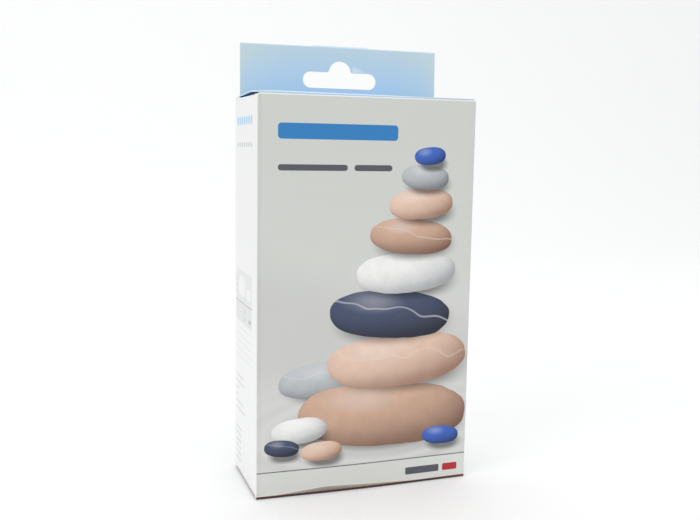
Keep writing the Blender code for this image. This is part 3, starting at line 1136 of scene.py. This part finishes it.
@dataclass
class Wrap(Panel):
    """The four walls: one sheet from the right wall's raw edge round to the glued flap."""

    rows: int = 44
    front_steps: int = 48
    side_steps: int = 14
    back_steps: int = 30
    glue_steps: int = 5
    rim: float = 0.5 * MM
    chamfer: float = 0.14 * MM
    nudge: float = 0.01 * MM
    seam_gap: float = 0.03 * MM
    seam_lap: float = 0.05 * MM
    glue_width: float = 15.0 * MM
    glue_taper: float = 4.0 * MM

    def straight(
        self, start: Span, end: Span, normal: Span, slot: int, wall: Wall, steps: int,
        marks: Sequence[float] = (),
    ) -> list[Station]:
        """Walks a straight wall.

        Args:
            start: where it starts.
            end: where it ends.
            normal: the printed face's normal.
            slot: the printed face's material slot.
            wall: which wall it is.
            steps: how many even parts it has.
            marks: places along it where its edges change level, each given a pair of points.

        Returns:
            The stations.
        """
        axis = 0 if abs(end[0] - start[0]) > abs(end[1] - start[1]) else 1
        length = end[axis] - start[axis]
        pairs = [mark + nudge for mark in marks for nudge in (-self.nudge, self.nudge)]
        inside = {share for share in ((place - start[axis]) / length for place in pairs) if 0 < share < 1}
        return [
            Station(*(a + (b - a) * share for a, b in zip(start, end)), normal, slot, wall)
            for share in sorted({number / steps for number in range(steps + 1)} | inside)
        ]

    def turn(
        self, x: float, y: float, start: float, before: int, after: int, swap: int = 4,
    ) -> list[Station]:
        """Walks round an upright crease.

        Args:
            x: its centre across.
            y: its centre in depth.
            start: the angle where it starts, in degrees.
            before: the material slot of its first part.
            after: the material slot of its second part.
            swap: the step, of eight, where the second part starts.

        Returns:
            The stations between the walls on its two sides.
        """
        stations = []
        for number, angle in enumerate(spread(start, start - 90.0, 8)[1:-1], 1):
            out = polar((0.0, 0.0), 1.0, angle)
            place = polar((x, y), self.sizes.corner, angle)
            stations.append(Station(*place, out, before if number < swap else after, Wall.CORNER))
        return stations

    def path(self) -> list[Station]:
        """Walks round the walls.

        Returns:
            The stations, from the right wall's raw edge to the glued flap's.
        """
        s, r = self.sizes, self.sizes.corner
        front, white, side, plain = range(4)
        left, right, near, far = s.left + r, s.right - r, s.front + r, s.back - r
        inner = s.right - s.board - self.seam_gap
        levels = [sign * place for sign in (1, -1) for place in (s.dust_front, s.dust_back)]
        tab = (s.tab_left, s.tab_right)
        ahead, behind, east, west = (0, -1), (0, 1), (1, 0), (-1, 0)
        sides, rear = self.side_steps, self.back_steps
        lap, glue = s.back - self.seam_lap, s.back - self.glue_width
        return [
            *self.straight((s.right, lap), (s.right, far), east, white, Wall.RIGHT, 1),
            *self.straight((s.right, far), (s.right, near), east, white, Wall.RIGHT, sides, levels)[1:],
            *self.turn(right, near, 0.0, white, front, 3),
            *self.straight((right, s.front), (left, s.front), ahead, front, Wall.FRONT, self.front_steps),
            *self.turn(left, near, -90.0, front, side, 5),
            *self.straight((s.left, near), (s.left, far), west, side, Wall.LEFT, sides, levels),
            *self.turn(left, far, 180.0, side, plain),
            *self.straight((left, s.back), (inner - r, s.back), behind, plain, Wall.BACK, rear, tab),
            *self.turn(inner - r, far, 90.0, plain, plain),
            *self.straight((inner, far), (inner, glue), east, plain, Wall.GLUE, self.glue_steps),
        ]

    def heights(self, station: Station) -> Span:
        """The lower and the upper edge of the sheet at a station."""
        s, wall = self.sizes, station.wall
        foot, top = s.wall_foot, s.wall_top - self.spring.drop(station.y) * abs(station.normal[0])
        if wall in (Wall.LEFT, Wall.RIGHT):
            if s.dust_front < station.y < s.dust_back:
                top = s.wall_top - s.stub
            if s.dust_front < -station.y < s.dust_back:
                foot += s.stub
        if wall is Wall.FRONT:
            foot += s.stub
        if wall is Wall.BACK:
            foot = 0.0
            top = s.tab_foot if s.tab_left < station.x < s.tab_right else s.wall_top
        if wall is Wall.GLUE:
            taper = self.glue_taper * (1.0 + (s.back - station.y) / self.glue_width)
            foot, top = taper, s.top - taper
        return foot, top

    def build(self) -> bpy.types.Object:
        """Builds the walls and dresses them.

        Returns:
            The piece, which rides on the carton and stands for the sleeve.
        """
        stations = self.path()
        face = np.zeros((self.rows + 1, len(stations), 3))
        back = np.zeros_like(face)
        for column, station in enumerate(stations):
            normal = Vector((*station.normal, 0.0))
            foot, top = self.heights(station)
            for row, z in enumerate([*spread(foot, top - self.rim, self.rows - 1), top]):
                bow = self.spring.wall(station.x, station.y, z, station.wall)
                point = Vector((station.x, station.y, z)) + bow
                face[row, column] = point - normal * (self.chamfer if row == self.rows else 0.0)
                back[row, column] = point - normal * self.sizes.board
        f = self.finishes
        materials = (f.front, f.white, f.side, f.plain, f.inner, f.raw)
        columns = [
            here.slot if after.wall is Wall.CORNER and here.wall is not Wall.CORNER else after.slot
            for here, after in zip(stations, stations[1:])
        ]
        prints = np.array([columns] * self.rows)
        prints[-1, :] = len(materials) - 1
        piece = sheet("carton_walls", face, back, prints, materials)
        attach(piece, "carton")
        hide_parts("sleeve")
        return piece


@dataclass
class Folded(Panel):
    """A panel that is swept from a folded profile.

    A hinged one sets what it is and where it bends: its name, its node, its slot, its two
    bodies and its hinge, from the first body's side to the second's.
    """

    columns: int = field(default=25, kw_only=True)
    smooth: float = field(default=FLAT_SMOOTH, kw_only=True)
    name: str = field(init=False)
    node: str = field(init=False)
    slot: str = field(init=False)
    bodies: tuple[str, str] = field(init=False)
    hinge: tuple[Place, Place] = field(init=False)

    def thickness(self) -> float:
        """The thickness of the board that it is swept from."""
        return self.sizes.board

    def fold(self) -> Fold:
        """The profile."""
        raise NotImplementedError

    def edges(self, along: float, up: float) -> Span:
        """The panel's two edges at a point of the profile."""
        raise NotImplementedError

    def place(self, along: float, up: float, across: float) -> Place:
        """Puts a profile point and a distance across into the row frame."""
        raise NotImplementedError

    def prints(self) -> Sequence[bpy.types.Material]:
        """The finishes of its printed face."""
        return (self.finishes.blue,)

    def printed(self, row: int) -> int:
        """The material slot of a row of the printed face."""
        return 0

    def rim(self) -> bpy.types.Material:
        """The finish of its cut edges."""
        return self.finishes.raw

    def inside(self) -> bpy.types.Material:
        """The finish of its inner face."""
        return self.finishes.inner

    def sweep(self, name: str) -> bpy.types.Object:
        """Sweeps the profile across the panel.

        Args:
            name: the piece's name.

        Returns:
            The new object, at rest in the row frame.
        """
        fold = self.fold()
        face, back = [], []
        for point, normal in zip(fold.points, fold.normals):
            stations = spread(*self.edges(*point), self.columns - 1)
            inner = [point[axis] - normal[axis] * self.thickness() for axis in range(2)]
            face.append([self.place(*point, station) for station in stations])
            back.append([self.place(*inner, station) for station in stations])
        slots = [[self.printed(row)] * (self.columns - 1) for row in range(len(face) - 1)]
        materials = (*self.prints(), self.inside(), self.rim())
        return sheet(name, np.array(face), np.array(back), np.array(slots), materials, self.smooth)

    def half_turn(self, end: End, x: float, y: float, z: float) -> Place:
        """Puts a point of the top end on the end that is asked for."""
        return (x, y, z) if end is End.TOP else (x, -y, self.sizes.top - z)

    def build(self) -> bpy.types.Object:
        """Builds the panel with its hinge crease.

        Returns:
            The piece, which stands for its node.
        """
        piece = self.sweep(self.name)
        start, end = self.hinge
        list(self.bodies)
        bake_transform(piece)
        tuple(start)
        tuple(end)
        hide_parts(self.node)
        return piece


@dataclass
class Lid(Folded):
    """The lid: from the foot of the tab's front layer forward to the tuck crease."""

    columns: int = field(default=61, kw_only=True)
    hinge_radius: float = 0.35 * MM
    hinge_width: float = 0.9 * MM
    bend: float = 0.2 * MM
    flares: Span = (0.1 * MM, 0.7 * MM)
    flare_length: float = 8.0 * MM

    def __post_init__(self) -> None:
        """Works out where the lid starts, bends and ends."""
        self.name, self.node, self.slot, self.bodies = "lid_panel", "lid", "blue_print", ("carton", "lid")
        s, bend = self.sizes, self.bend
        self.low, self.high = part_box(self.node)
        self.wall = s.back - 2 * s.board
        self.reach = self.wall - (self.low.y + s.crease)
        self.hinge = (0.0, self.wall + bend / 4, s.top + bend), (0.0, self.wall - 2 * bend, s.top - bend)

    def fold(self) -> Fold:
        """Down the foot of the tab, round the hinge and forward."""
        s, r = self.sizes, self.hinge_radius
        fold = Fold().run((0.0, s.tab_foot - s.top), (0.0, r), (1, 0), 2)
        return fold.bend((r, r), r, 180, 270, -1).run((r, 0.0), (self.reach, 0.0), (0, 1), 40)

    def edges(self, along: float, up: float) -> Span:
        """As wide as the tab at the hinge, then the lid's own width, wider at its crease."""
        if along < self.hinge_width:
            return self.sizes.tab_left, self.sizes.tab_right
        share = clamped(1.0 - (self.reach - along) / self.flare_length)
        return self.low.x - self.flares[0] * share, self.high.x + self.flares[1] * share

    def inside(self) -> bpy.types.Material:
        """Bare board, with painted blue shade near the edges."""
        return self.finishes.lid_inner

    def rim(self) -> bpy.types.Material:
        """The ink shows on the lid's soft edges."""
        return self.finishes.inked

    def place(self, along: float, up: float, across: float) -> Place:
        """Along goes forward from the tab's front face."""
        return (across, self.wall - along, self.sizes.top + up + self.spring.lid(across, along))


@dataclass
class Bottom(Folded):
    """The bottom panel: from the front wall's foot back to its tuck crease."""

    columns: int = field(default=49, kw_only=True)
    corner_radius: float = 1.0 * MM
    bow_reach: float = 12.0 * MM
    crease_flare: float = 0.7 * MM
    stub_rows: int = 6
    bend_rows: int = 8

    def __post_init__(self) -> None:
        """Works out where the panel bends and ends."""
        self.name, self.node, self.slot = "bottom_board", "bottom_panel", "red_print"
        self.bodies = ("carton", "bottom")
        s, third = self.sizes, self.sizes.crease / 3
        self.low, self.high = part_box(self.node)
        self.reach = (self.high.y - s.crease) - s.front
        self.hinge = (0.0, s.front + third, 3 * third), (0.0, s.front + 3 * third, third)

    def fold(self) -> Fold:
        """Down the front wall's foot, round the crease and back."""
        s, r = self.sizes, self.sizes.crease
        fold = Fold().run((0.0, s.wall_foot + s.stub), (0.0, r), (-1, 0), self.stub_rows)
        return fold.bend((r, r), r, 180, 270).run((r, 0.0), (self.reach, 0.0), (0, -1), 14)

    def edges(self, along: float, up: float) -> Span:
        """The panel's own width, wider in its crease, with small round corners at its far end."""
        inset = corner_inset(self.reach - along + self.corner_radius / 3, self.corner_radius)
        if along < self.sizes.crease:
            inset -= self.crease_flare
        return self.low.x + inset, self.high.x - inset

    def rim(self) -> bpy.types.Material:
        """The ink shows on the panel's soft edges."""
        return self.finishes.red

    def place(self, along: float, up: float, across: float) -> Place:
        """Along goes back from the front wall's printed face."""
        bow = self.spring.wall(across, 0.0, up, Wall.FRONT).y * math.exp(-max(along, 0.0) / self.bow_reach)
        return (across, self.sizes.front + along + bow, up)

    def prints(self) -> Sequence[bpy.types.Material]:
        """The front's print, and red."""
        return self.finishes.front, self.finishes.red

    def printed(self, row: int) -> int:
        """The front's print on the wall's foot and round the crease, and then red."""
        return 0 if row < self.stub_rows + self.bend_rows else 1


@dataclass
class TuckFlap(Folded):
    """The flap folded in from a panel's free edge, with its rounded crease."""

    end: End
    corner_radius: float = 8.0 * MM
    taper: float = 3.0 * MM
    curl: float = 0.12 * MM
    settle: float = 8.0 * MM
    near: float = 0.1 * MM
    flares: Span = (0.6 * MM, 1.2 * MM)

    def __post_init__(self) -> None:
        """Works out the flap's length and the places of its printed face and its hinge."""
        s, is_top = self.sizes, self.end is End.TOP
        self.name, self.node = self.end.value + "_tuck", self.end.value + "_tuck_flap"
        self.slot = "blue_print" if is_top else "red_print"
        self.bodies = ("lid" if is_top else "bottom", self.name)
        self.low, self.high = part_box(self.node)
        self.length = s.top - self.low.z if is_top else self.high.z
        self.outer = self.low.y if is_top else -self.high.y
        self.columns = 61 if is_top else 25
        self.hinge = (
            self.half_turn(self.end, 0.0, self.outer + s.crease - self.near, s.top - self.near),
            self.half_turn(self.end, 0.0, self.outer + self.near, s.top - s.crease - self.near),
        )

    def fold(self) -> Fold:
        """Round the crease and down."""
        r = self.sizes.crease
        fold = Fold().bend((r, -r), r, 90, 180)
        return fold.flap(r, self.length, self.corner_radius, 8, lambda down: (0.0, -down), (-1, 0))

    def edges(self, along: float, up: float) -> Span:
        """Tapered towards the free end, whose corners are round; the top crease is wider."""
        r = self.sizes.crease
        inset = self.taper * max(-up - r, 0.0) / (self.length - r)
        inset += corner_inset(self.length + up, self.corner_radius)
        left, right = (inset - flare * self.flaring(up) for flare in self.flares)
        return self.low.x + left, self.high.x - right

    def flaring(self, up: float) -> float:
        """How much of its flare the top flap's crease has at a height."""
        return math.sqrt(clamped(1.0 + up / self.sizes.crease)) if self.end is End.TOP else 0.0

    def place(self, along: float, up: float, across: float) -> Place:
        """Along goes inward from the flap's printed face, and up from the crease."""
        s = self.sizes
        down = max(-up - s.crease, 0.0)
        along += self.outer + self.curl * (down / (self.length - s.crease)) ** 2
        if self.end is End.TOP:
            up += self.spring.crease(across) * (1.0 - clamped(down / self.settle))
        return self.half_turn(self.end, across, along, s.top + up)

    def prints(self) -> Sequence[bpy.types.Material]:
        """Its end's own print."""
        return (self.finishes.blue if self.end is End.TOP else self.finishes.red,)


@dataclass
class DustFlap(Folded):
    """A flap folded in from a side wall, with the crease along the wall's end."""

    end: End
    side: Side
    columns: int = field(default=17, kw_only=True)
    corner_radius: float = 5.0 * MM
    crease_end: float = 1.5 * MM
    taper: float = 6.0 * MM
    sag: float = 0.6 * MM
    wall_rows: int = 4

    def __post_init__(self) -> None:
        """Works out the flap's node, its length, its hinge and the wall it is folded from."""
        s, end, side = self.sizes, self.end, self.side.name.lower()
        self.name, self.node = f"{end.value}_dust_{side}_board", f"{end.value}_dust_flap_{side}"
        self.slot = "blue_print" if end is End.TOP else "red_print"
        self.bodies = ("carton", f"{end.value}_dust_{side}")
        low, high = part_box(self.node)
        self.wall = abs(s.left)
        self.length = self.wall - min(abs(low.x), abs(high.x))
        self.level = s.wall_top - (self.spring.side_drop if end is End.TOP else 0.0)
        third = s.crease / 3
        self.hinge = tuple(
            self.half_turn(end, self.side.value * (self.wall - inward), 0.0, self.level - down)
            for inward, down in ((third, 3 * third), (3 * third, third))
        )

    def fold(self) -> Fold:
        """Up the wall, round the crease and inward."""
        s, r = self.sizes, self.sizes.crease
        foot = s.wall_top - s.stub - self.level
        fold = Fold().run((0.0, foot), (0.0, -r), (-1, 0)).bend((r, -r), r, 180, 90)
        return fold.flap(r, self.length, self.corner_radius, 10, lambda inward: (inward, 0.0), (0, 1))

    def edges(self, along: float, up: float) -> Span:
        """Square at the hinged panel's side, tapered at the other, with round corners."""
        inset = corner_inset(self.length - along, self.corner_radius)
        return self.sizes.dust_front + self.taper * self.share(along) + inset, self.sizes.dust_back - inset

    def share(self, along: float) -> float:
        """How far along the flap a point is, from 0 at its crease to 1 at its end."""
        return clamped((along - self.crease_end) / (self.length - self.crease_end))

    def place(self, along: float, up: float, across: float) -> Place:
        """Along goes inward from the wall, and the flap's end sags a little."""
        level = self.level + up - self.sag * self.share(along) ** 1.5
        if self.end is End.TOP and along > 0.0:
            level += (self.spring.side_drop - self.spring.drop(across)) * clamped(along / self.sizes.crease)
        return self.half_turn(self.end, self.side.value * (self.wall - along), across, level)

    def prints(self) -> Sequence[bpy.types.Material]:
        """The wall's own print, and its end's."""
        f = self.finishes
        return f.side if self.side is Side.LEFT else f.white, f.blue if self.end is End.TOP else f.red

    def printed(self, row: int) -> int:
        """The wall's own print until halfway round the crease."""
        return 0 if row < self.wall_rows else 1


@dataclass
class HangTab(Folded):
    """The tab: its rear layer, the fold over the top and its front layer, cut by the slot."""

    columns: int = field(default=90, kw_only=True)
    smooth: float = field(default=40.0, kw_only=True)
    layer_rows: int = 22
    layer_gap: float = 0.02 * MM
    rise: float = 0.5 * MM
    rise_width: float = 28.2 * MM
    rise_depth: float = 3.0 * MM
    rise_slope: float = 0.6 * MM
    corner_radius: float = 0.6 * MM
    slot_middle: float = -0.15 * MM
    slot_foot: float = 5.15 * MM
    slot_width: float = 37.0 * MM
    slot_band: float = 7.6 * MM
    slot_height: float = 12.9 * MM
    slot_bump: float = 11.3 * MM
    slot_fillet: float = 1.2 * MM
    cut_reach: float = 6.0 * MM
    splay: float = 0.12 * MM
    splay_from: float = 30.0 * MM
    splay_over: float = 20.0 * MM
    foot_flare: float = 0.35 * MM
    tilt: Span = (0.05 * MM, 0.50 * MM)

    def __post_init__(self) -> None:
        """Works out the tab's level top and the plane between its layers."""
        self.level = self.sizes.tab_top - self.rise
        self.middle = self.sizes.back - self.sizes.board

    def thickness(self) -> float:
        """The board's thickness, less half the gap between the layers."""
        return self.sizes.board - self.layer_gap / 2

    def fold(self) -> Fold:
        """Up the rear layer, over the top and down the front one."""
        half, foot, rows = self.sizes.board, self.sizes.tab_foot, self.layer_rows
        fold = Fold().run((half, foot), (half, self.level - half), (1, 0), rows)
        fold.bend((0.0, self.level - half), half, 0, 180)
        return fold.run((-half, self.level - half), (-half, foot), (-1, 0), rows)

    def edges(self, along: float, up: float) -> Span:
        """The tab's sides, a little rounded where they meet its top."""
        s = self.sizes
        inset = corner_inset(max(self.level - up, 0.0), self.corner_radius)
        flare = self.foot_flare * clamped((self.level - up) / (self.level - s.tab_foot))
        return s.tab_left + inset, s.tab_right - inset + flare

    def place(self, along: float, up: float, across: float) -> Place:
        """Along goes back from between the layers; the fold is prouder in the middle."""
        share = clamped((up - (self.level - self.rise_depth)) / self.rise_depth)
        inside = self.rise_width / 2 - abs(across - self.slot_middle)
        tilt = self.tilt[0] + (self.tilt[1] - self.tilt[0]) * self.sizes.across(across)
        lifted = up + share * (tilt + self.rise * clamped(inside / self.rise_slope + 0.5))
        outer = max(abs(across) - self.splay_from, 0.0) / self.splay_over
        apart = self.splay * outer ** 2 * (1.0 - share) if along < 0 else 0.0
        return (across, self.middle + along - apart, lifted)

    def outline(self) -> list[Span]:
        """The slot's outline: a band with round ends and a round bump above its middle."""
        foot, fillet, bump = self.sizes.top + self.slot_foot, self.slot_fillet, self.slot_bump / 2
        radius = self.slot_band / 2
        end_x, band_z = self.slot_width / 2 - radius, foot + radius
        bump_z = foot + self.slot_height - bump
        fillet_z = foot + self.slot_band + fillet
        fillet_x = math.sqrt((bump + fillet) ** 2 - (fillet_z - bump_z) ** 2)
        lean = math.degrees(math.atan2(fillet_z - bump_z, fillet_x))
        outline = Fold()
        for x, z, reach, start, end, steps in (
            (end_x, band_z, radius, -90.0, 90.0, 28),
            (fillet_x, fillet_z, fillet, -90.0, lean - 180.0, 10),
            (0.0, bump_z, bump, lean, 180.0 - lean, 32),
            (-fillet_x, fillet_z, fillet, -lean, -90.0, 10),
            (-end_x, band_z, radius, 90.0, 270.0, 28),
        ):
            for angle in spread(start, end, steps):
                outline.add(polar((self.slot_middle + x, z), reach, angle), (0.0, 0.0))
        return outline.points

    def cutter(self) -> bpy.types.Object:
        """The slot as a solid that runs past both faces of the tab."""
        points, past = self.outline(), self.cut_reach
        count = len(points)
        vertices = [(x, self.sizes.back + depth, z) for depth in (-past, past) for x, z in points]
        faces: list[tuple[int, ...]] = [tuple(range(count)), tuple(range(2 * count - 1, count - 1, -1))]
        for number in range(count):
            after = (number + 1) % count
            faces.append((number, number + count, after + count, after))
        return finished("slot_cutter", vertices, faces, (self.finishes.raw,), [0] * len(faces), self.smooth)

    def build(self) -> bpy.types.Object:
        """Builds the folded tab, cuts its slot and dresses it.

        Returns:
            The piece, which rides on the carton and stands for the hang tab.
        """
        tab, cutter = self.sweep("hang_tab_board"), self.cutter()
        cut = tab.modifiers.new("slot", "BOOLEAN")
        cut.operation = "DIFFERENCE"
        cut.solver = "EXACT"
        cut.object = cutter
        cut.material_mode = "TRANSFER"
        bpy.context.view_layer.update()
        evaluated = tab.evaluated_get(bpy.context.evaluated_depsgraph_get())
        mesh = bpy.data.meshes.new_from_object(evaluated)
        tab.modifiers.clear()
        tab.data = mesh
        bpy.data.objects.remove(cutter, do_unlink=True)
        keep_rest(mesh, self.smooth)
        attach(tab, "carton")
        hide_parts("hang_tab")
        return tab


@dataclass
class Studio:
    """The photograph's view, a white sweep and soft lights."""

    eye: Place = (-0.13441, -0.385998, 0.154507)
    yaw: float = 19.0748
    pitch: float = -7.1628
    roll: float = 0.9561
    lens: float = 44.934
    floor_reach: float = 3.0
    floor_back: float = 1.6
    sweep_radius: float = 0.9
    backdrop_height: float = 3.0
    paper: Colour = (0.95, 0.954, 0.956)
    # Painted glow: the paper's own emission, stronger away from the carton.
    glow_near: float = 0.012
    glow_far: float = 0.042
    glow_reach: Span = (0.15, 0.90)
    sky: float = 0.87
    left_place: Place = (-1.1, -0.5, 0.9)
    left_size: float = 0.8
    left_power: float = 3.0
    top_place: Place = (0.1, 0.1, 1.4)
    top_size: float = 1.0
    top_power: float = 3.2
    aim: Place = (0.0, 0.0, 0.1)

    def camera(self) -> None:
        """Sets the camera where the photograph was taken."""
        yaw, pitch, roll = (math.radians(angle) for angle in (self.yaw, self.pitch, self.roll))
        flat = math.cos(pitch)
        ahead = Vector((math.sin(yaw) * flat, math.cos(yaw) * flat, math.sin(pitch)))
        level = ahead.cross(Vector((0, 0, 1))).normalized()
        upright = level.cross(ahead)
        right = level * math.cos(roll) + upright * math.sin(roll)
        up = upright * math.cos(roll) - level * math.sin(roll)
        data = bpy.data.cameras.new("photo_camera")
        data.lens = self.lens
        data.sensor_width = 36.0
        data.clip_start = 0.01
        data.clip_end = 20.0
        camera = bpy.data.objects.new("photo_camera", data)
        turned = Matrix((right, up, -ahead)).transposed().to_4x4()
        camera.matrix_world = Matrix.Translation(self.eye) @ turned
        bpy.context.scene.collection.objects.link(camera)
        bpy.context.scene.camera = camera

    def backdrop(self) -> None:
        """Lays a pale floor that curves up behind the carton."""
        radius = self.sweep_radius
        bend = [polar((self.floor_back - radius, radius), radius, angle) for angle in spread(-90, 0, 24)]
        profile = [(-self.floor_reach, 0.0), *bend, (self.floor_back, self.backdrop_height)]
        vertices = [(x, y, z) for x in (-self.floor_reach, self.floor_reach) for y, z in profile]
        count = len(profile)
        faces = [(n, n + 1, n + 1 + count, n + count) for n in range(count - 1)]
        mesh = bpy.data.meshes.new("backdrop")
        mesh.from_pydata(vertices, [], faces)
        mesh.shade_smooth()
        mesh.materials.append(self.sheet_material())
        backdrop = bpy.data.objects.new("backdrop", mesh)
        bpy.context.scene.collection.objects.link(backdrop)

    def sheet_material(self) -> bpy.types.Material:
        """White paper with a painted glow, stronger the farther it is from the carton.

        Returns:
            The backdrop's material.
        """
        material, graph, shader = blank("pale_paper")
        place = graph.node("ShaderNodeNewGeometry").outputs["Position"]
        far = graph.step(graph.length(place), *self.glow_reach)
        glow = graph.math("MULTIPLY_ADD", far, self.glow_far - self.glow_near, self.glow_near)
        for label, value in (
            ("Base Color", self.paper), ("Roughness", 0.6), ("Specular IOR Level", 0.2),
            ("Emission Color", (1.0, 1.0, 1.0)), ("Emission Strength", glow),
        ):
            graph.feed(shader.inputs[label], value)
        return material

    def lamp(self, name: str, place: Place, size: float, power: float) -> None:
        """Hangs a square soft light, aimed at the carton's middle.

        Args:
            name: the light's name.
            place: where it hangs.
            size: the length of its sides.
            power: its power in watts.
        """
        data = bpy.data.lights.new(name, "AREA")
        data.size = size
        data.energy = power
        lamp = bpy.data.objects.new(name, data)
        lamp.location = place
        lamp.rotation_euler = (Vector(self.aim) - Vector(place)).to_track_quat("-Z", "Y").to_euler()
        bpy.context.scene.collection.objects.link(lamp)

    def light(self) -> None:
        """Sets an even white surround with a little more light from the left and above."""
        world = bpy.data.worlds.new("white_surround")
        world.use_nodes = True
        surround = world.node_tree.nodes["Background"]
        surround.inputs["Color"].default_value = (1.0, 1.0, 1.0, 1.0)
        surround.inputs["Strength"].default_value = self.sky
        bpy.context.scene.world = world
        self.lamp("left_softbox", self.left_place, self.left_size, self.left_power)
        self.lamp("top_softbox", self.top_place, self.top_size, self.top_power)

    def build(self) -> None:
        """Sets up the view."""
        view = bpy.context.scene.view_settings
        view.view_transform = "Standard"
        view.look = "None"
        self.camera()
        self.backdrop()
        self.light()


def main() -> None:
    """Builds the studio and every piece of the carton, in order."""
    logging.basicConfig(level=logging.INFO, format="%(message)s")
    Studio().build()
    sizes = Measures.read()
    spring = Spring(sizes)
    shared = (sizes, spring, Finishes(sizes, spring))
    panels: list[Panel] = [Wrap(*shared), HangTab(*shared), Lid(*shared), Bottom(*shared)]
    for end in End:
        panels.append(TuckFlap(*shared, end))
        panels += [DustFlap(*shared, end, side) for side in Side]
    for panel in panels:
        piece = panel.build()
        log.info("%s: %d faces", piece.name, len(piece.data.polygons))


if __name__ == "__main__":
    main()
